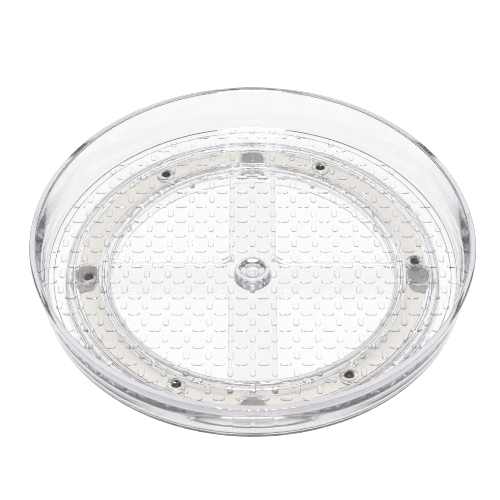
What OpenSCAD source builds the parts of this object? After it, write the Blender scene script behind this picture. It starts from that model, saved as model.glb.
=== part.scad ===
// Lazy susan turntable: a clear tray turning on a ball ring over a clear cross base.
// Millimetres. Z is the spin axis, Z = 0 is the table and +Y points to the far side.

/* [Tray] */
// Outside diameter of the rim
rim_d = 270; // [266:1:300]
// Height of the rim above the table
rim_h = 48; // [40:0.5:60]
// Width of the flat rim
rim_w = 4; // [3:0.1:5]
// Height of the tray floor's top face
floor_z = 19.5; // [19:0.1:22]
// Thickness of the tray floor
floor_t = 2; // [1.6:0.1:2.4]
// Radius of the floor inside the wall
floor_r = 125.8; // [124:0.1:127]
// Outside radius of the tray just above its lower corner
heel_r = 130.3; // [129:0.1:132]
// Radius of the lower outside corner
corner_r = 1.5; // [1:0.1:2.5]
// Inside radius of the shallow step under the floor's edge
step_r = 122.4; // [120:0.1:124]
// Depth of that step
step_h = 0.8; // [0.4:0.1:1.2]

/* [Ball ring] */
// Number of balls
ball_count = 6; // [4:1:12]
// Diameter of a ball
ball_d = 6; // [5:0.5:7]
// Radius of the circle the balls roll on
ball_circle_r = 101; // [98:0.5:103]
// Angle of the first ball from the +X axis
ball_phase = 3.9; // [0:0.1:60]
// Gap above and below a ball
race_gap = 0.05; // [0.02:0.01:0.1]
// Width of the retainer ring
retainer_w = 13; // [11:0.5:14]
// Thickness of the retainer ring
retainer_t = 1.8; // [1.2:0.1:2.4]
// Outside diameter of the collar around each ball
collar_d = 11.2; // [9.5:0.1:12]
// Height of the collars
collar_h = 4.6; // [3:0.1:5]
// Diameter of a ball pocket
pocket_d = 6.5; // [6.2:0.1:7]

/* [Base] */
// Outside diameter of the base ring
base_d = 230; // [226:1:234]
// Inside diameter of the base ring
base_inner_d = 176; // [170:1:178]
// Thickness of the ring's upright walls
base_wall_t = 2; // [1.6:0.1:2.4]
// Height of the base ring's lower edge above the table
base_lift = 3; // [2:0.5:5]
// Height of the upper edge of the ring's walls
base_top = 15.4; // [14:0.1:15.8]
// Thickness of the channel floor
channel_t = 2; // [1.6:0.1:2.6]
// Width of each arm of the cross
arm_w = 29.4; // [24:0.2:34]
// Height of the top face of the cross
arm_top = 9.4; // [8.8:0.1:10]
// Thickness of the cross plate
arm_t = 2; // [1.6:0.1:2.6]
// Thickness of the ribs along the arms' edges
arm_rib_t = 2.2; // [1.6:0.1:3]
// Depth of the ribs along the arms' edges
arm_rib_h = 4.4; // [3:0.1:5]
// Radius of the corners where two arms meet
arm_fillet = 6; // [3:0.5:9]

/* [Hub] */
// Diameter of the tray's pivot boss
boss_d = 16; // [12:0.5:18]
// Radial running clearance of the boss in the hub
hub_clear = 0.08; // [0.03:0.01:0.1]
// Diameter of the hub where it meets the cross
hub_d_low = 24; // [22:0.5:28]
// Diameter of the hub's upper end
hub_d_top = 21.4; // [20:0.1:24]
// Height of the hub's upper end
hub_top = 16.2; // [14:0.1:16.6]
// Diameter of the plug that holds the pivot cap
plug_d = 8; // [6:0.5:10]
// Diameter of the pivot cap
cap_d = 20; // [18:0.5:24]

/* [Pads] */
// Diameter of a pad
pad_d = 14.8; // [12:0.1:16]
// Height of a pad
pad_h = 7.4; // [6:0.1:7.4]
// Radius of the circle the pads stand on
pad_circle_r = 102.5; // [100:0.5:103]
// Diameter of a pad socket
socket_d = 17.4; // [16.6:0.1:19]

/* [Hidden] */
$fn = 96;
floor_under = floor_z - floor_t;
race_z = floor_under - ball_d - 2 * race_gap;
ball_z = race_z + ball_d / 2 + race_gap;
corner_x = heel_r - corner_r;
corner_z = floor_under - step_h + corner_r;
rim_out_r = 0.6;
rim_in_r = 0.9;
lean_out = atan((rim_d / 2 - heel_r) / (rim_h - rim_out_r - corner_z));
lean_in = atan((rim_d / 2 - rim_w - floor_r) / (rim_h - floor_z));
rib_in_r = 91.5;
rib_out_r = 109.5;
rib_t = 1.5;
rib_h = 3;
boss_low = 7;
cap_t = 1.8;
cap_low = boss_low - cap_t;
retainer_z = ball_z - retainer_t / 2;
collar_gap = 0.1;
collar_z = race_z + collar_gap;
pad_angles = [0, 90, 180, 270];
// How far joined shapes run into each other, and cutters past a face.
overlap = 1;
// Added to the diameter of a recess that a piece is pressed into.
press_gap = 0.04;
// Depth of the hole in the boss, and height of the plug that goes up into it.
plug_bore_h = 8;
plug_h = 7;
// How far each arm of the cross runs into the ring's inner wall.
arm_reach = 0.6;
// Width of the slope at the step under the floor.
step_run = 0.4;

// Points on an arc from angle a0 to a1 about (x, z).
function arc(x, z, r, a0, a1, n = 12) =
    [for (i = [0:n]) let (a = a0 + (a1 - a0) * i / n) [x + r * cos(a), z + r * sin(a)]];

// Half section of the tray: floor with a stepped underside, leaning wall and flat rim.
module tray_section() {
    polygon(concat(
        [[0, floor_under], [step_r, floor_under], [step_r + step_run, floor_under - step_h]],
        arc(corner_x, corner_z, corner_r, -90, -lean_out),
        arc(rim_d / 2 - rim_out_r, rim_h - rim_out_r, rim_out_r, -lean_out, 90, 6),
        arc(rim_d / 2 - rim_w + rim_in_r, rim_h - rim_in_r, rim_in_r, 90, 180 - lean_in, 6),
        [[floor_r, floor_z], [0, floor_z]]
    ));
}

// A plain tube standing at height z.
module tube(z, h, r_out, r_in) {
    translate([0, 0, z])
        difference() {
            cylinder(h = h, r = r_out);
            translate([0, 0, -overlap]) cylinder(h = h + 2 * overlap, r = r_in);
        }
}

// Plan of the cross: four arms w wide that reach out to half of span, with rounded inner corners.
module cross_plan(w, fillet, span) {
    c = w / 2 + fillet;
    quarter = concat([[span / 2, -w / 2], [span / 2, w / 2]], arc(c, c, fillet, 270, 180));
    polygon([for (q = [0:3], p = quarter)
        [p.x * cos(90 * q) - p.y * sin(90 * q), p.x * sin(90 * q) + p.y * cos(90 * q)]]);
}

// The tray turns on the balls. Its boss runs in the hub of the base.
module turntable_tray() {
    color([0.97, 0.97, 0.98, 0.35])
        difference() {
            union() {
                rotate_extrude($fn = 180) tray_section();
                tube(floor_under - rib_h, rib_h + overlap, rib_in_r + rib_t, rib_in_r);
                tube(floor_under - rib_h, rib_h + overlap, rib_out_r + rib_t, rib_out_r);
                translate([0, 0, boss_low]) cylinder(h = floor_under - boss_low + overlap, d = boss_d);
            }
            translate([0, 0, boss_low - overlap])
                cylinder(h = plug_bore_h + overlap, d = plug_d + press_gap);
        }
}

// Half section of the base ring: two upright walls joined by the channel floor.
module ring_section() {
    r0 = base_inner_d / 2;
    r1 = base_d / 2;
    t = base_wall_t;
    under = race_z - channel_t;
    polygon([
        [r0, base_lift], [r0 + t, base_lift], [r0 + t, under], [r1 - t, under],
        [r1 - t, base_lift], [r1, base_lift], [r1, base_top], [r1 - t, base_top],
        [r1 - t, race_z], [r0 + t, race_z], [r0 + t, base_top], [r0, base_top]
    ]);
}

// Cross plate with ribs hanging along the edges of its arms.
module base_cross() {
    span = base_inner_d + 2 * arm_reach;
    translate([0, 0, arm_top - arm_t])
        linear_extrude(arm_t) cross_plan(arm_w, arm_fillet, span);
    translate([0, 0, arm_top - arm_rib_h])
        linear_extrude(arm_rib_h - arm_t / 2)
            difference() {
                cross_plan(arm_w, arm_fillet, span);
                cross_plan(arm_w - 2 * arm_rib_t, arm_fillet + arm_rib_t, span + 4 * overlap);
            }
}

// The base is one moulding: channel ring, cross, hub and pad sockets.
module base() {
    socket_h = race_z - channel_t / 2 - base_lift;
    color([0.95, 0.95, 0.97, 0.35])
        difference() {
            union() {
                rotate_extrude($fn = 180) ring_section();
                base_cross();
                translate([0, 0, arm_top - overlap])
                    cylinder(h = hub_top - arm_top + overlap, d1 = hub_d_low, d2 = hub_d_top);
                for (a = pad_angles)
                    rotate(a) translate([pad_circle_r, 0, base_lift])
                        cylinder(h = socket_h, d = socket_d);
            }
            translate([0, 0, overlap]) cylinder(h = hub_top + overlap, d = boss_d + 2 * hub_clear);
            for (a = pad_angles)
                rotate(a) translate([pad_circle_r, 0, base_lift - overlap])
                    cylinder(h = pad_h - base_lift + overlap, d = pad_d + press_gap);
        }
}

// The retainer floats between the guide ribs and spaces the balls.
module ball_retainer() {
    mid_r = ball_circle_r;
    color([0.94, 0.925, 0.898, 0.7])
        difference() {
            union() {
                tube(retainer_z, retainer_t, mid_r + retainer_w / 2, mid_r - retainer_w / 2);
                for (i = [0:ball_count - 1])
                    at_ball(i, collar_z) cylinder(h = collar_h, d = collar_d);
            }
            for (i = [0:ball_count - 1])
                at_ball(i, collar_z - overlap) cylinder(h = collar_h + 2 * overlap, d = pocket_d);
        }
}

// Moves its children to the axis of ball i at height z.
module at_ball(i, z) {
    a = ball_phase + i * 360 / ball_count;
    translate([ball_circle_r * cos(a), ball_circle_r * sin(a), z]) children();
}

// One steel ball.
module ball(i) {
    color([0.8, 0.8, 0.82]) at_ball(i, ball_z) sphere(d = ball_d, $fn = 48);
}

// One non-slip pad, pressed up into its socket.
module foot_pad(angle) {
    color([0.72, 0.715, 0.74])
        rotate(angle) translate([pad_circle_r, 0, 0]) cylinder(h = pad_h, d = pad_d);
}

// The cap plugs into the tray boss and keeps the tray on the base.
module pivot_cap() {
    color([0.95, 0.95, 0.97, 0.35]) {
        translate([0, 0, cap_low]) cylinder(h = cap_t, d = cap_d);
        translate([0, 0, cap_low + overlap]) cylinder(h = plug_h, d = plug_d);
    }
}

turntable_tray();
base();
ball_retainer();
ball(0);  // ball_1
ball(1);  // ball_2
ball(2);  // ball_3
ball(3);  // ball_4
ball(4);  // ball_5
ball(5);  // ball_6
foot_pad(0);  // foot_pad_right
foot_pad(90);  // foot_pad_back
foot_pad(180);  // foot_pad_left
foot_pad(270);  // foot_pad_front
pivot_cap();
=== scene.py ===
# %% [markdown]
# # A clear lazy susan turntable
# The real object is a shallow clear tray that turns on six steel balls. The balls sit in a
# cream plastic ring, and the ring runs in a channel of a clear base with a four-armed cross.
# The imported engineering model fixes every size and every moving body. This file gives each
# piece its rounded edges, its floor pattern and its finish, and lights it like a shop picture.

# %% Load the frame
import math

import bmesh
import bpy
from mathutils import Matrix, Vector


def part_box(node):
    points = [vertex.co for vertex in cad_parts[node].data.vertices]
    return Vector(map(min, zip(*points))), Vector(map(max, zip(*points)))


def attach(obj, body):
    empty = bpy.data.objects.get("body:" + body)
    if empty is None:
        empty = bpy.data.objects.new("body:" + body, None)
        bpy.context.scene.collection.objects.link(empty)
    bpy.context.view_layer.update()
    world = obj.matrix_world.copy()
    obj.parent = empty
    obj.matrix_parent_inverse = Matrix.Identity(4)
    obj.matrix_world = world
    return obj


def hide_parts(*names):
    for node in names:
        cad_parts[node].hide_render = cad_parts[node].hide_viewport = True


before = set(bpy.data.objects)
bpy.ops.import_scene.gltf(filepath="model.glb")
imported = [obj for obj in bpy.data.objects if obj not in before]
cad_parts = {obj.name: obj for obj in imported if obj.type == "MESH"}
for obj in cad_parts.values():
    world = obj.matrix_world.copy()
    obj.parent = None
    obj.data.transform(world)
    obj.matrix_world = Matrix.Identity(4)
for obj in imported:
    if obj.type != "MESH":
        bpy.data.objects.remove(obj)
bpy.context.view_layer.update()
MM = 0.001

# %% [markdown]
# ## The camera
# The tray is looked at from about 47 degrees above the table with a long lens, so its round
# rim becomes a wide ellipse. A camera is easiest to place from the point it looks at: go back
# from there by the distance, then turn the camera until its axis points at the target.

# %% Camera
TARGET = Vector((-1.6 * MM, 17.0 * MM, 15.7 * MM))
ELEVATION = math.radians(46.64)
DISTANCE = 1.0444

lens = bpy.data.cameras.new("studio_camera")
lens.lens = 119.9
lens.sensor_width = 36.0
camera = bpy.data.objects.new("studio_camera", lens)
bpy.context.scene.collection.objects.link(camera)
backward = Vector((0, -math.cos(ELEVATION), math.sin(ELEVATION)))
camera.location = TARGET + backward * DISTANCE
camera.rotation_euler = backward.to_track_quat("Z", "Y").to_euler()
bpy.context.scene.camera = camera
print("camera stands at", [round(c, 3) for c in camera.location])

# %% [markdown]
# ## Tools for making meshes
# Almost every piece is turned, like work on a lathe: a half section in (radius, height) is
# revolved about an axis. Moulded plastic never has a knife-sharp edge, so each corner of a
# section gets a small radius. A thin extra ring of points next to each rounding keeps the
# smooth shading from leaking across the flat faces, which clear plastic would show at once.

# %% Sections with rounded corners
def soften(corners, steps=4, guard=0.15):
    """Turns [(x, y, radius), ...] in mm into a closed outline with rounded corners."""
    outline = []
    count = len(corners)
    for i, (x, y, radius) in enumerate(corners):
        here = Vector((x, y))
        before = Vector(corners[i - 1][:2]) - here
        after = Vector(corners[(i + 1) % count][:2]) - here
        if radius <= 0 or before.length < 1e-9 or after.length < 1e-9:
            outline.append(here)
            continue
        u, v = before.normalized(), after.normalized()
        half = math.acos(max(-1.0, min(1.0, u.dot(v)))) / 2
        cut = radius / math.tan(half)
        centre = here + (u + v).normalized() * (radius / math.sin(half))
        start, end = here + u * cut - centre, here + v * cut - centre
        turn = start.angle_signed(end)
        outline.append(here + u * (cut + guard))
        for k in range(steps + 1):
            spoke = start.copy()
            spoke.rotate(Matrix.Rotation(-turn * k / steps, 2))
            outline.append(centre + spoke)
        outline.append(here + v * (cut + guard))
    return outline


test_square = soften([(0, 0, 1), (10, 0, 1), (10, 10, 1), (0, 10, 1)])
print("a softened square has", len(test_square), "points")


# %% Turning a section on the lathe
CREASE = 32  # degrees, the bend above which an edge is drawn sharp


def finish_mesh(bm, name, crease=CREASE):
    """Writes a bmesh to a new object at the origin, shaded smooth up to a crease angle."""
    bmesh.ops.remove_doubles(bm, verts=bm.verts, dist=1e-7)
    bmesh.ops.recalc_face_normals(bm, faces=bm.faces)
    mesh = bpy.data.meshes.new(name)
    bm.to_mesh(mesh)
    bm.free()
    mesh.shade_smooth()
    mesh.set_sharp_from_angle(angle=math.radians(crease))
    piece = bpy.data.objects.new(name, mesh)
    bpy.context.scene.collection.objects.link(piece)
    return piece


def turned(name, section, sides=192, at=(0, 0)):
    """Revolves a closed section of (radius, height) points in mm about an upright axis."""
    bm = bmesh.new()
    rings = []
    for radius, height in section:
        if radius < 1e-6:
            rings.append([bm.verts.new((at[0] * MM, at[1] * MM, height * MM))])
            continue
        ring = []
        for k in range(sides):
            a = 2 * math.pi * k / sides
            x, y = at[0] + radius * math.cos(a), at[1] + radius * math.sin(a)
            ring.append(bm.verts.new((x * MM, y * MM, height * MM)))
        rings.append(ring)
    for lower, upper in zip(rings, rings[1:] + rings[:1]):
        if len(lower) == 1 and len(upper) == 1:
            continue
        for k in range(sides):
            corners = [lower[k % len(lower)], lower[(k + 1) % len(lower)]]
            corners += [upper[(k + 1) % len(upper)], upper[k % len(upper)]]
            bm.faces.new(list(dict.fromkeys(corners)))
    return finish_mesh(bm, name)


# %% Plates with a rounded outline and rounded edges
def inset(outline, depth):
    """Moves a closed anticlockwise outline inwards by depth."""
    moved = []
    for i, here in enumerate(outline):
        u = (here - outline[i - 1]).normalized()
        v = (outline[(i + 1) % len(outline)] - here).normalized()
        n = Vector((-u.y, u.x)) + Vector((-v.y, v.x))
        moved.append(here + n * (depth / (n.length_squared / 2)))
    return moved


def plate(name, outline, low, high, top_edge=0.4, low_edge=0.4, steps=6):
    """Makes a flat plate in mm with a quarter-round along its upper and its lower rim."""
    bm = bmesh.new()
    turns = [math.pi / 2 * k / steps for k in range(steps + 1)]
    levels = [(low_edge + 0.1, low)]
    levels += [(low_edge * (1 - math.sin(a)), low + low_edge * (1 - math.cos(a))) for a in turns]
    levels += [(top_edge * (1 - math.cos(a)), high - top_edge * (1 - math.sin(a))) for a in turns]
    levels += [(top_edge + 0.1, high)]
    rings = []
    for depth, height in levels:
        loop = inset(outline, depth)
        rings.append([bm.verts.new((p.x * MM, p.y * MM, height * MM)) for p in loop])
    count = len(outline)
    for lower, upper in zip(rings, rings[1:]):
        for k in range(count):
            j = (k + 1) % count
            bm.faces.new((lower[k], lower[j], upper[j], upper[k]))
    bm.faces.new(list(reversed(rings[0])))
    bm.faces.new(rings[-1])
    return finish_mesh(bm, name)


# %% Joining and cutting solids
def combine(piece, tools, how):
    """Joins tools to piece (UNION) or cuts them from it (DIFFERENCE), and removes them."""
    for tool in tools:
        step = piece.modifiers.new("combine", "BOOLEAN")
        step.operation = how
        step.solver = "MANIFOLD"
        step.object = tool
    bpy.context.view_layer.update()
    depsgraph = bpy.context.evaluated_depsgraph_get()
    mesh = bpy.data.meshes.new_from_object(piece.evaluated_get(depsgraph))
    piece.modifiers.clear()
    old = piece.data
    piece.data = mesh
    bpy.data.meshes.remove(old)
    mesh.name = piece.name
    for tool in tools:
        bpy.data.objects.remove(tool)
    mesh.shade_smooth()
    mesh.set_sharp_from_angle(angle=math.radians(CREASE))
    print(f"{piece.name}: {len(mesh.polygons)} faces after {how.lower()}")
    return piece


# %% [markdown]
# ## The clear tray
# The tray is one moulding: a flat floor, a wall that leans outwards, a flat rim with rounded
# edges, two thin guide ribs under the floor and a boss in the middle that runs in the hub. The
# whole half section is drawn once and turned.

# %% Tray section
tray_low, tray_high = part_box("turntable_tray")
RIM_R = tray_high.x / MM
RIM_Z = tray_high.z / MM
FLOOR_Z, FLOOR_T = 19.5, 2.0
UNDER_Z = FLOOR_Z - FLOOR_T
BOSS_Z = tray_low.z / MM
print(f"rim radius {RIM_R:.1f} mm, rim height {RIM_Z:.1f} mm, boss starts at {BOSS_Z:.1f} mm")


def arc(cx, cz, radius, start, end, steps):
    """Points on an arc, with angles in degrees."""
    angles = [math.radians(start + (end - start) * k / steps) for k in range(steps + 1)]
    return [(cx + radius * math.cos(a), cz + radius * math.sin(a)) for a in angles]


def rib(radius, width, depth):
    """Section of a thin ring that hangs under the floor, from outside to inside."""
    e = 0.35
    low = UNDER_Z - depth
    outer = [(radius + width, UNDER_Z - 0.2), (radius + width, low + e)]
    inner = [(radius, low + e), (radius, UNDER_Z - 0.2)]
    bottom = arc(radius + width - e, low + e, e, 0, -90, 3) + arc(radius + e, low + e, e, -90, -180, 3)
    return [(radius + width + 0.35, UNDER_Z)] + outer + bottom + inner + [(radius - 0.2, UNDER_Z)]


FLOOR_R, HEEL_R, STEP_R, STEP_H = 125.8, 130.3, 122.4, 0.8
RIB_INNER, RIB_OUTER, RIB_T, RIB_H = 91.5, 109.5, 1.5, 3.0
RIM_W, HEEL, LIP_OUT, LIP_IN = 4.0, 1.5, 0.45, 1.2
LEAN_OUT, LEAN_IN = 9.1, 10.3
KEEL_Z = UNDER_Z - STEP_H
underside = [(0, 15.0), (3.87, 15.0), (4.02, 14.85), (4.02, BOSS_Z + 0.3), (4.32, BOSS_Z)]
underside += [(7.6, BOSS_Z), (7.9, BOSS_Z + 0.1), (8.0, BOSS_Z + 0.4), (8.0, UNDER_Z - 0.4)]
underside += [(8.1, UNDER_Z - 0.12), (8.4, UNDER_Z), (8.6, UNDER_Z)]
underside += list(reversed(rib(RIB_INNER, RIB_T, RIB_H)))
underside += list(reversed(rib(RIB_OUTER, RIB_T, RIB_H)))
underside += [(STEP_R - 0.35, UNDER_Z), (STEP_R - 0.2, UNDER_Z)]
underside += [(STEP_R, UNDER_Z - 0.1), (STEP_R + 0.3, KEEL_Z + 0.1)]
underside += [(STEP_R + 0.5, KEEL_Z), (STEP_R + 0.65, KEEL_Z)]
underside += [(HEEL_R - HEEL - 0.15, KEEL_Z)]
outside = arc(HEEL_R - HEEL, KEEL_Z + HEEL, HEEL, -90, -LEAN_OUT, 8)
rim = arc(RIM_R - LIP_OUT, RIM_Z - LIP_OUT, LIP_OUT, -LEAN_OUT, 90, 6) + [(RIM_R - LIP_OUT - 0.15, RIM_Z)]
rim += [(RIM_R - RIM_W + LIP_IN + 0.15, RIM_Z)]
rim += arc(RIM_R - RIM_W + LIP_IN, RIM_Z - LIP_IN, LIP_IN, 90, 180 - LEAN_IN, 8)
FOOT = 1.6
foot_x = FLOOR_R + FOOT * math.tan(math.radians(LEAN_IN)) - FOOT / math.cos(math.radians(LEAN_IN))
fillet = arc(foot_x, FLOOR_Z + FOOT, FOOT, -LEAN_IN, -90, 10) + [(foot_x - 0.15, FLOOR_Z)]
tray_section = underside + outside + rim + fillet + [(0, FLOOR_Z)]
tray = turned("tray", tray_section, sides=288)
print("tray turned from", len(tray_section), "points")

# %% [markdown]
# ### The pill pattern on the floor
# The floor is covered with low raised pills in two directions, so that jars grip and scratches
# do not show. The upright pills stand on one square grid and the lying pills on a second grid,
# shifted by half a step. That is a rule, so Geometry Nodes makes it: a grid of points, a cut to
# a circle, and one small pill placed on each point.

# %% One pill
PITCH, PILL_L, PILL_W, PILL_H = 13.0, 7.0, 3.5, 0.36
PILL_SIDES = 18


def one_pill(name):
    """A low pill along Y with a rounded top edge, sunk a little so that it joins the floor."""
    bm = bmesh.new()
    straight, r = (PILL_L - PILL_W) / 2, PILL_W / 2
    levels = [(0.0, -0.4), (0.0, 0.02), (0.09, 0.2), (0.2, 0.31), (0.36, PILL_H)]
    rings = []
    for depth, height in levels:
        ring = []
        for k in range(PILL_SIDES):
            a = math.pi * 2 * (k + 0.5) / PILL_SIDES
            y = (r - depth) * math.sin(a) + math.copysign(straight, math.sin(a))
            ring.append(bm.verts.new(((r - depth) * math.cos(a) * MM, y * MM, height * MM)))
        rings.append(ring)
    for lower, upper in zip(rings, rings[1:]):
        for k in range(PILL_SIDES):
            j = (k + 1) % PILL_SIDES
            bm.faces.new((lower[k], lower[j], upper[j], upper[k]))
    bm.faces.new(list(reversed(rings[0])))
    bm.faces.new(rings[-1])
    return finish_mesh(bm, name)


pill = one_pill("floor_pill")
print("one pill has", len(pill.data.polygons), "faces")

# %% A small helper for every node tree
def add(tree, kind, settings=None, links=None):
    """Adds one node, sets its properties and sockets, and links its inputs."""
    node = tree.nodes.new(kind)
    for key, value in (settings or {}).items():
        if isinstance(key, str) and hasattr(node, key):
            setattr(node, key, value)
        else:
            node.inputs[key].default_value = value
    for key, source in (links or {}).items():
        tree.links.new(source, node.inputs[key])
    return node


# %% A lattice of pills with Geometry Nodes
def lattice_tree(name):
    """Grid points inside a circle, each with one pill turned to the given angle."""
    tree = bpy.data.node_groups.new(name, "GeometryNodeTree")
    face = tree.interface
    face.new_socket("Pill", in_out="INPUT", socket_type="NodeSocketObject")
    face.new_socket("Pitch", in_out="INPUT", socket_type="NodeSocketFloat")
    face.new_socket("Points each way", in_out="INPUT", socket_type="NodeSocketInt")
    face.new_socket("Shift", in_out="INPUT", socket_type="NodeSocketVector")
    face.new_socket("Turn", in_out="INPUT", socket_type="NodeSocketVector")
    face.new_socket("Reach", in_out="INPUT", socket_type="NodeSocketFloat")
    face.new_socket("Material", in_out="INPUT", socket_type="NodeSocketMaterial")
    face.new_socket("Mesh", in_out="OUTPUT", socket_type="NodeSocketGeometry")
    given = add(tree, "NodeGroupInput").outputs
    steps = add(tree, "ShaderNodeMath", {"operation": "SUBTRACT", 1: 1.0}, {0: given["Points each way"]})
    width = add(tree, "ShaderNodeMath", {"operation": "MULTIPLY"}, {0: steps.outputs[0], 1: given["Pitch"]})
    grid = add(tree, "GeometryNodeMeshGrid", {}, {
        "Size X": width.outputs[0], "Size Y": width.outputs[0],
        "Vertices X": given["Points each way"], "Vertices Y": given["Points each way"]})
    moved = add(tree, "GeometryNodeSetPosition", {}, {
        "Geometry": grid.outputs["Mesh"], "Offset": given["Shift"]})
    place = add(tree, "GeometryNodeInputPosition")
    flat = add(tree, "ShaderNodeVectorMath", {"operation": "MULTIPLY", 1: (1, 1, 0)}, {0: place.outputs[0]})
    far = add(tree, "ShaderNodeVectorMath", {"operation": "LENGTH"}, {0: flat.outputs["Vector"]})
    outside_reach = add(tree, "FunctionNodeCompare", {"operation": "GREATER_THAN"}, {
        "A": far.outputs["Value"], "B": given["Reach"]})
    kept = add(tree, "GeometryNodeDeleteGeometry", {"domain": "POINT"}, {
        "Geometry": moved.outputs["Geometry"], "Selection": outside_reach.outputs["Result"]})
    shape = add(tree, "GeometryNodeObjectInfo", {}, {"Object": given["Pill"]})
    turn = add(tree, "FunctionNodeEulerToRotation", {}, {"Euler": given["Turn"]})
    placed = add(tree, "GeometryNodeInstanceOnPoints", {}, {
        "Points": kept.outputs["Geometry"], "Instance": shape.outputs["Geometry"],
        "Rotation": turn.outputs[0]})
    real = add(tree, "GeometryNodeRealizeInstances", {}, {"Geometry": placed.outputs["Instances"]})
    done = add(tree, "GeometryNodeSetMaterial", {}, {
        "Geometry": real.outputs["Geometry"], "Material": given["Material"]})
    add(tree, "NodeGroupOutput", {}, {"Mesh": done.outputs["Geometry"]})
    return tree


LATTICE = lattice_tree("pill_lattice")
print("lattice inputs:", [s.name for s in LATTICE.interface.items_tree if s.in_out == "INPUT"])


# %% Make the two lattices
def lattice(name, values):
    """Runs the lattice tree with the given inputs and returns the result as a plain mesh."""
    host = bpy.data.objects.new(name, bpy.data.meshes.new(name))
    bpy.context.scene.collection.objects.link(host)
    step = host.modifiers.new("lattice", "NODES")
    step.node_group = LATTICE
    for socket in LATTICE.interface.items_tree:
        if socket.in_out == "INPUT":
            step[socket.identifier] = values[socket.name]
    bpy.context.view_layer.update()
    depsgraph = bpy.context.evaluated_depsgraph_get()
    mesh = bpy.data.meshes.new_from_object(host.evaluated_get(depsgraph))
    host.modifiers.clear()
    host.data = mesh
    print(f"{name}: {len(mesh.polygons)} faces")
    return host


pill_material = bpy.data.materials.new("floor_pill_blank")
half = PITCH / 2 * MM
EACH_WAY, PATTERN_R = 21, 124.5
shared = {
    "Pill": pill, "Pitch": PITCH * MM, "Points each way": EACH_WAY,
    "Reach": PATTERN_R * MM, "Material": pill_material}
upright = lattice("upright_pills", {**shared, "Shift": (0, half, FLOOR_Z * MM), "Turn": (0, 0, 0)})
lying = lattice("lying_pills", {**shared, "Shift": (half, 0, FLOOR_Z * MM), "Turn": (0, 0, math.pi / 2)})
tray = combine(tray, [upright, lying], "UNION")
bpy.data.objects.remove(pill)
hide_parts("turntable_tray")
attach(tray, "tray")

# %% [markdown]
# ## The pivot cap
# A plug pushed up into the boss from below holds the tray on the base. Its round flange sits
# just under the hub. It is turned, with softened edges and a shallow dimple underneath.

# %% Pivot cap
AIR = 0.06  # mm of air between clear pieces that touch, so that light meets each surface once
cap_low, cap_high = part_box("pivot_cap")
z0, z1 = cap_low.z / MM, cap_high.z / MM
cap_r = cap_high.x / MM
cap_section = [(0, z0 + 0.9), (2.4, z0 + 0.9), (3.2, z0 + 0.6), (3.8, z0 + 0.1), (4.1, z0)]
cap_section += [(cap_r - 0.65, z0)] + arc(cap_r - 0.5, z0 + 0.5, 0.5, -90, 0, 4)
seat_z = BOSS_Z - AIR
cap_section += arc(cap_r - 0.5, seat_z - 0.5, 0.5, 0, 90, 4) + [(cap_r - 0.65, seat_z), (4.15, seat_z)]
cap_section += [(3.98, seat_z + 0.15), (3.98, z1 - 0.6), (3.5, z1 - AIR), (0, z1 - AIR)]
cap = turned("pivot_plug", cap_section, sides=96)
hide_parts("pivot_cap")
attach(cap, "tray")
print("cap from", round(z0, 1), "to", round(z1, 1), "mm")

# %% [markdown]
# ## The clear base
# The base is one moulding as well. Its ring has two upright walls with a channel floor between
# them. A cross of four flat arms, with ribs hanging along their edges, carries the hub. Each
# part is made as its own closed solid, and the solids are joined with a Boolean.

# %% Ring of the base
base_low, base_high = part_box("base")
R1 = base_high.x / MM
R0, WALL = 88.0, 2.0
LOW, TOP = base_low.z / MM, 15.4
RACE_Z, RACE_UNDER = 11.4, 9.4
TIGHT, ROUND = 0.2, 0.9
ring_corners = [
    (R0, LOW, TIGHT), (R0 + WALL, LOW, TIGHT),
    (R0 + WALL, RACE_UNDER, TIGHT), (R1 - WALL, RACE_UNDER, TIGHT),
    (R1 - WALL, LOW, TIGHT), (R1, LOW, TIGHT), (R1, TOP, ROUND), (R1 - WALL, TOP, ROUND),
    (R1 - WALL, RACE_Z, TIGHT), (R0 + WALL, RACE_Z, TIGHT), (R0 + WALL, TOP, ROUND), (R0, TOP, ROUND)]
base = turned("clear_base", soften(ring_corners), sides=256)
print("ring between", R0, "and", round(R1, 1), "mm")


# %% Cross and hub
def cross_outline(width, fillet, span, steps=8):
    """Outline of four arms with rounded inner corners, anticlockwise, in mm."""
    c = width / 2 + fillet
    quarter = [Vector((span / 2, -width / 2)), Vector((span / 2, width / 2))]
    quarter += [Vector(p) for p in arc(c, c, fillet, 270, 180, steps)]
    return [Matrix.Rotation(math.pi / 2 * q, 2) @ p for q in range(4) for p in quarter]


ARM_W, ARM_RIB, ARM_TOP, ARM_T, ARM_H = 29.4, 2.2, 9.4, 2.0, 4.4
ARM_FILLET, ARM_SPAN, HOLLOW_SPAN, ARM_EDGE = 6.0, 177.2, 184.0, 1.2
arms = cross_outline(ARM_W, ARM_FILLET, ARM_SPAN)
cross = plate("cross", arms, ARM_TOP - ARM_H, ARM_TOP, ARM_EDGE, ARM_EDGE)
hollow = cross_outline(ARM_W - 2 * ARM_RIB, ARM_FILLET + ARM_RIB, HOLLOW_SPAN)
cutter = plate("cross_hollow", hollow, ARM_TOP - ARM_H - 2, ARM_TOP - ARM_T, TIGHT, TIGHT)
cross = combine(cross, [cutter], "DIFFERENCE")
HUB_CORE, HUB_FOOT_R, HUB_TOP_R, HUB_FOOT, HUB_TOP = 6.0, 12.15, 10.7, 8.4, 16.2
hub_corners = [
    (HUB_CORE, HUB_FOOT, 0), (HUB_FOOT_R, HUB_FOOT, 0),
    (HUB_TOP_R, HUB_TOP, 0.6), (HUB_CORE, HUB_TOP, 0)]
hub = turned("hub", soften(hub_corners), sides=96)

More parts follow.
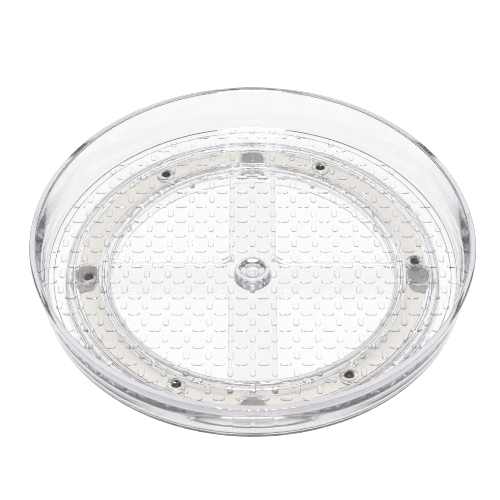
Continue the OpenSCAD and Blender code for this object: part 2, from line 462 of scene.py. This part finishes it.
# %% Pad sockets, and the holes
PAD_R = (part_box("foot_pad_right")[0].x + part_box("foot_pad_right")[1].x) / 2 / MM
pad_d = (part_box("foot_pad_right")[1].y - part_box("foot_pad_right")[0].y) / MM
pad_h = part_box("foot_pad_right")[1].z / MM
pad_spots = [(PAD_R, 0), (0, PAD_R), (-PAD_R, 0), (0, -PAD_R)]
SOCKET_R, SOCKET_TOP, BORE_R, BORE_MOUTH = 8.7, 10.4, 8.08, 8.5
socket_corners = [(0, LOW, 0), (SOCKET_R, LOW, TIGHT), (SOCKET_R, SOCKET_TOP, 0), (0, SOCKET_TOP, 0)]
recess_r, recess_top = pad_d / 2 + AIR, pad_h + AIR
recess_corners = [(0, 1, 0), (recess_r, 1, 0), (recess_r, recess_top, TIGHT), (0, recess_top, 0)]
sockets = [turned("socket", soften(socket_corners), 64, at) for at in pad_spots]
base = combine(base, [cross, hub] + sockets, "UNION")
recesses = [turned("recess", soften(recess_corners), 64, at) for at in pad_spots]
bore_section = [(0, 1), (BORE_R, 1), (BORE_R, 15.8), (BORE_MOUTH, 16.3), (BORE_MOUTH, 20), (0, 20)]
bore = turned("hub_bore", bore_section, sides=96)
base = combine(base, recesses + [bore], "DIFFERENCE")
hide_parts("base")
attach(base, "base")

# %% [markdown]
# ## The ball retainer
# A flat cream ring keeps the balls one sixth of a turn apart. Around each ball it has a raised
# round collar. The six collars repeat, so the same section is turned at each ball's place.

# %% Ball places
balls = [f"ball_{i}" for i in range(1, 7)]
spots = {}
for node in balls:
    low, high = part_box(node)
    spots[node] = (low + high) / 2 / MM
ball_r = (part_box("ball_1")[1].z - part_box("ball_1")[0].z) / 2 / MM
print("ball radius", round(ball_r, 2), "mm; circle radius", round(spots["ball_1"].xy.length, 1), "mm")

# %% Retainer ring with its collars
ret_low, ret_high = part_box("ball_retainer")
ret_r = ret_high.x / MM
mid_z = spots["ball_1"].z
RET_W, RET_HALF, RET_EDGE = 13.0, 0.9, 0.4
band = [
    (ret_r - RET_W, mid_z - RET_HALF, RET_EDGE), (ret_r, mid_z - RET_HALF, RET_EDGE),
    (ret_r, mid_z + RET_HALF, RET_EDGE), (ret_r - RET_W, mid_z + RET_HALF, RET_EDGE)]
retainer = turned("retainer_ring", soften(band), sides=256)
c0, c1 = ret_low.z / MM, ret_high.z / MM
COLLAR_CORE, COLLAR_R, POCKET_R, MOUTH_LOW, MOUTH_TOP = 3.4, 5.6, 3.25, 3.45, 3.5
collar = [(COLLAR_CORE, c0, 0), (COLLAR_R, c0, 0.4), (COLLAR_R, c1, 0.5), (COLLAR_CORE, c1, 0)]
pocket = [
    (0, c0 - 1), (MOUTH_LOW, c0 - 1), (MOUTH_LOW, c0 - 0.2), (POCKET_R, c0 + 0.4),
    (POCKET_R, c1 - 0.4), (MOUTH_TOP, c1 + 0.1), (MOUTH_TOP, c1 + 1), (0, c1 + 1)]
collars = [turned("collar", soften(collar), 48, spots[b].xy) for b in balls]
pockets = [turned("pocket", pocket, 48, spots[b].xy) for b in balls]
retainer = combine(retainer, collars, "UNION")
retainer = combine(retainer, pockets, "DIFFERENCE")
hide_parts("ball_retainer")
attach(retainer, "retainer")

# %% [markdown]
# ## The steel balls
# A ball made from a subdivided cube has even faces and no poles, so its reflections stay
# round everywhere. Each ball is its own piece because each one rolls on its own.


# %% Balls
def steel_ball(node):
    """A ball of even quads in the place of a CAD ball."""
    bm = bmesh.new()
    bmesh.ops.create_cube(bm, size=1.0)
    bmesh.ops.subdivide_edges(bm, edges=bm.edges, cuts=11, use_grid_fill=True)
    centre = spots[node] * MM
    for v in bm.verts:
        x, y, z = (math.tan(c * math.pi / 2) for c in v.co)
        v.co = centre + Vector((x, y, z)).normalized() * (ball_r * MM)
    piece = finish_mesh(bm, "steel_" + node, crease=60)
    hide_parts(node)
    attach(piece, node)
    return piece


steel_balls = [steel_ball(node) for node in balls]
print(len(steel_balls), "balls of", len(steel_balls[0].data.polygons), "faces")

# %% [markdown]
# ## The pads
# Four soft grey pads are pressed up into the sockets. They stick out three millimetres and
# have rounded lower edges and a shallow dish underneath that grips the table.

# %% Pads
r = pad_d / 2
pad_section = [(0, 0.5), (r - 3.2, 0.5), (r - 2.6, 0.35), (r - 2.0, 0.05), (r - 1.7, 0)]
pad_section += [(r - 1.05, 0)] + arc(r - 0.9, 0.9, 0.9, -90, 0, 6) + [(r, 1.05), (r, pad_h - 0.45)]
pad_section += arc(r - 0.3, pad_h - 0.3, 0.3, 0, 90, 4) + [(r - 0.45, pad_h), (0, pad_h)]
pads = []
for node, at in zip(["foot_pad_right", "foot_pad_back", "foot_pad_left", "foot_pad_front"], pad_spots):
    piece = turned("grip_" + node, pad_section, 72, at)
    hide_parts(node)
    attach(piece, "base")
    pads.append(piece)
print(len(pads), "pads, each", round(pad_d, 1), "mm wide")

# %% [markdown]
# ## Materials
# Each finish starts from the real stuff. Colours are written as the hex values a designer
# would pick on screen, and one function turns them into the linear values a shader needs.


# %% Colour and material helpers
def hex_colour(code):
    """Turns an sRGB hex colour into linear RGBA."""
    parts = [int(code[i:i + 2], 16) / 255 for i in (1, 3, 5)]
    return tuple(c / 12.92 if c <= 0.04045 else ((c + 0.055) / 1.055) ** 2.4 for c in parts) + (1.0,)


def new_material(name, settings):
    """A material with one Principled shader, and its tree for patterns."""
    material = bpy.data.materials.new(name)
    material.use_nodes = True
    tree = material.node_tree
    shader = tree.nodes["Principled BSDF"]
    for key, value in settings.items():
        shader.inputs[key].default_value = value
    return material, tree, shader


def place_on(tree):
    """Object coordinates in metres."""
    return add(tree, "ShaderNodeTexCoord").outputs["Object"]


def dress(pieces, material):
    for piece in pieces:
        piece.data.materials.clear()
        piece.data.materials.append(material)
    print(material.name, "on", len(pieces), "pieces")


# %% Clear plastic
# Styrene-acrylonitrile, moulded in a polished tool: clear as glass, a little lavender in
# thick sections, with faint long flow waves where the melt froze.
clear, tree, shader = new_material("clear_moulded_san", {
    "Base Color": hex_colour("#FEFEFE"), "Roughness": 0.03, "IOR": 1.57, "Transmission Weight": 1.0})
spot = place_on(tree)
flow = add(tree, "ShaderNodeTexNoise", {"Scale": 45.0, "Detail": 2.0, "Roughness": 0.4}, {"Vector": spot})
wave = add(tree, "ShaderNodeBump", {"Strength": 0.004, "Distance": 0.001}, {"Height": flow.outputs["Fac"]})
tree.links.new(wave.outputs["Normal"], shader.inputs["Normal"])
haze = add(tree, "ShaderNodeTexNoise", {"Scale": 160.0, "Detail": 3.0}, {"Vector": spot})
soft = add(tree, "ShaderNodeMapRange", {"To Min": 0.02, "To Max": 0.05}, {"Value": haze.outputs["Fac"]})
tree.links.new(soft.outputs["Result"], shader.inputs["Roughness"])
tint = add(tree, "ShaderNodeVolumeAbsorption", {"Color": hex_colour("#C4BACC"), "Density": 13.0})
tree.links.new(tint.outputs["Volume"], tree.nodes["Material Output"].inputs["Volume"])
dress([tray, base, cap], clear)

# %% Cream retainer
# Natural polypropylene: milky, lets light through, satin from a spark-eroded tool.
cream, tree, shader = new_material("cream_moulded_polypropylene", {
    "Base Color": hex_colour("#FCFAF4"), "Roughness": 0.12, "IOR": 1.49, "Transmission Weight": 0.95})
spot = place_on(tree)
grain = add(tree, "ShaderNodeTexNoise", {"Scale": 1500.0, "Detail": 2.0}, {"Vector": spot})
skin = add(tree, "ShaderNodeBump", {"Strength": 0.05, "Distance": 0.0001}, {"Height": grain.outputs["Fac"]})
tree.links.new(skin.outputs["Normal"], shader.inputs["Normal"])
milk = add(tree, "ShaderNodeTexNoise", {"Scale": 60.0, "Detail": 2.0}, {"Vector": spot})
cloud = add(tree, "ShaderNodeValToRGB", {}, {"Fac": milk.outputs["Fac"]})
cloud.color_ramp.elements[0].color = hex_colour("#FAF7F0")
cloud.color_ramp.elements[1].color = hex_colour("#FDFBF6")
tree.links.new(cloud.outputs["Color"], shader.inputs["Base Color"])
dress([retainer], cream)

# %% Bearing steel
# Ground bearing steel with the finest of scratches. Its base colour is painted near black,
# a painted dark reflection of the room; real bearing steel is a much brighter mirror.
steel, tree, shader = new_material("ground_bearing_steel", {
    "Base Color": hex_colour("#38383D"), "Metallic": 1.0, "Roughness": 0.06})
spot = place_on(tree)
fine = add(tree, "ShaderNodeTexNoise", {"Scale": 4000.0, "Detail": 2.0}, {"Vector": spot})
rub = add(tree, "ShaderNodeMapRange", {"To Min": 0.04, "To Max": 0.1}, {"Value": fine.outputs["Fac"]})
tree.links.new(rub.outputs["Result"], shader.inputs["Roughness"])
dress(steel_balls, steel)

# %% Grey pads
# Soft thermoplastic rubber from a matt tool: a little light comes through, fine grain.
rubber, tree, shader = new_material("grey_moulded_tpr", {
    "Base Color": hex_colour("#E4E2E8"), "Roughness": 0.7, "IOR": 1.45, "Transmission Weight": 0.55})
spot = place_on(tree)
pores = add(tree, "ShaderNodeTexNoise", {"Scale": 2500.0, "Detail": 3.0}, {"Vector": spot})
touch = add(tree, "ShaderNodeBump", {"Strength": 0.3, "Distance": 0.0001}, {"Height": pores.outputs["Fac"]})
tree.links.new(touch.outputs["Normal"], shader.inputs["Normal"])
shade = add(tree, "ShaderNodeMapRange", {"To Min": 0.62, "To Max": 0.78}, {"Value": pores.outputs["Fac"]})
tree.links.new(shade.outputs["Result"], shader.inputs["Roughness"])
dress(pads, rubber)

# %% [markdown]
# ## Studio
# Clear things are shown best on a light table: the ground glows white, and darker walls stand
# around it. Flat plastic then shows the white ground, and every edge bends a little of the
# dark walls into view as a line. A white card behind, where flat faces mirror it to the
# camera, keeps the clear arms as pale as the floor. One lamp above the camera lights the pads.

# %% Light table
GLOW_CENTRE, GLOW_END, SEEN_WHITE = (0.0, 0.045, 0.0), 0.5, 1.1
bm = bmesh.new()
bmesh.ops.create_grid(bm, x_segments=1, y_segments=1, size=3.0)
floor_mesh = bpy.data.meshes.new("light_table")
bm.to_mesh(floor_mesh)
bm.free()
floor = bpy.data.objects.new("light_table", floor_mesh)
floor.location.z = -0.0002
bpy.context.scene.collection.objects.link(floor)
glow, tree, shader = new_material("white_light_table", {
    "Base Color": hex_colour("#101010"), "Roughness": 0.9, "Emission Color": (1, 1, 1, 1)})
spot = place_on(tree)
behind = add(tree, "ShaderNodeVectorMath", {"operation": "SUBTRACT", 1: GLOW_CENTRE}, {0: spot})
away = add(tree, "ShaderNodeVectorMath", {"operation": "LENGTH"}, {0: behind.outputs["Vector"]})
fade = add(tree, "ShaderNodeMapRange", {"From Min": 0.0, "From Max": GLOW_END}, {
    "Value": away.outputs["Value"]})
edge = add(tree, "ShaderNodeValToRGB", {}, {"Fac": fade.outputs["Result"]})
glow_stops = [(0.12, 1.0), (0.16, 0.99), (0.19, 0.66), (0.24, 0.25), (0.36, 0.0)]
for stop, (reach, level) in enumerate(glow_stops):
    mark = edge.color_ramp.elements[stop] if stop < 2 else edge.color_ramp.elements.new(reach / GLOW_END)
    mark.position = reach / GLOW_END
    mark.color = (level, level, level, 1)
first = add(tree, "ShaderNodeLightPath")
power = add(tree, "ShaderNodeMix", {"data_type": "FLOAT", "B": SEEN_WHITE}, {
    "Factor": first.outputs["Is Camera Ray"], "A": edge.outputs["Color"]})
tree.links.new(power.outputs[0], shader.inputs["Emission Strength"])
floor.data.materials.append(glow)

# %% Room and lamp
world = bpy.data.worlds.new("studio_room")
bpy.context.scene.world = world
world.use_nodes = True
tree = world.node_tree
back = tree.nodes["Background"]
way = add(tree, "ShaderNodeTexCoord")
parts = add(tree, "ShaderNodeSeparateXYZ", {}, {"Vector": way.outputs["Generated"]})
sky = add(tree, "ShaderNodeValToRGB", {}, {"Fac": parts.outputs["Z"]})
sky.color_ramp.elements[0].position = 0.2
sky.color_ramp.elements[0].color = (0.015, 0.012, 0.018, 1)
sky.color_ramp.elements[1].position = 0.75
sky.color_ramp.elements[1].color = (0.13, 0.125, 0.135, 1)
CARD_WAY = (0.0, math.cos(ELEVATION), math.sin(ELEVATION))
CARD_RIM, CARD_CORE, CARD_LEVEL = math.cos(math.radians(21)), math.cos(math.radians(14)), 0.64
toward = add(tree, "ShaderNodeVectorMath", {"operation": "DOT_PRODUCT", 1: CARD_WAY}, {
    0: way.outputs["Generated"]})
card = add(tree, "ShaderNodeMapRange", {
    "interpolation_type": "SMOOTHSTEP", "From Min": CARD_RIM, "From Max": CARD_CORE,
    "To Min": 0.0, "To Max": CARD_LEVEL}, {"Value": toward.outputs["Value"]})
lit = add(tree, "ShaderNodeVectorMath", {"operation": "ADD"}, {
    0: sky.outputs["Color"], 1: card.outputs["Result"]})
tree.links.new(lit.outputs["Vector"], back.inputs["Color"])
back.inputs["Strength"].default_value = 1.0
seen = add(tree, "ShaderNodeLightPath")
white = add(tree, "ShaderNodeBackground", {"Color": (1, 1, 1, 1), "Strength": SEEN_WHITE})
blend = add(tree, "ShaderNodeMixShader", {}, {
    0: seen.outputs["Is Camera Ray"], 1: back.outputs[0], 2: white.outputs[0]})
tree.links.new(blend.outputs[0], tree.nodes["World Output"].inputs["Surface"])


def softbox(name, size, power, place, aim=(0, 0, 0)):
    """A square area lamp that faces the tray."""
    lamp = bpy.data.lights.new(name, "AREA")
    lamp.shape = "SQUARE"
    lamp.size = size
    lamp.energy = power
    thing = bpy.data.objects.new(name, lamp)
    thing.location = place
    thing.rotation_euler = (Vector(place) - Vector(aim)).to_track_quat("Z", "Y").to_euler()
    bpy.context.scene.collection.objects.link(thing)
    return thing


softbox("front_box", 0.5, 45.0, (0.0, -0.62, 1.15))

# %% Picture settings
scene = bpy.context.scene
scene.view_settings.view_transform = "Standard"
scene.view_settings.look = "None"
scene.cycles.filter_width = 1.0  # thin dark edges stay thin
scene.cycles.max_bounces = 64
scene.cycles.transmission_bounces = 64
scene.cycles.glossy_bounces = 64  # light that runs along inside the wall counts here
scene.cycles.transparent_max_bounces = 16
scene.cycles.sample_clamp_indirect = 6.0
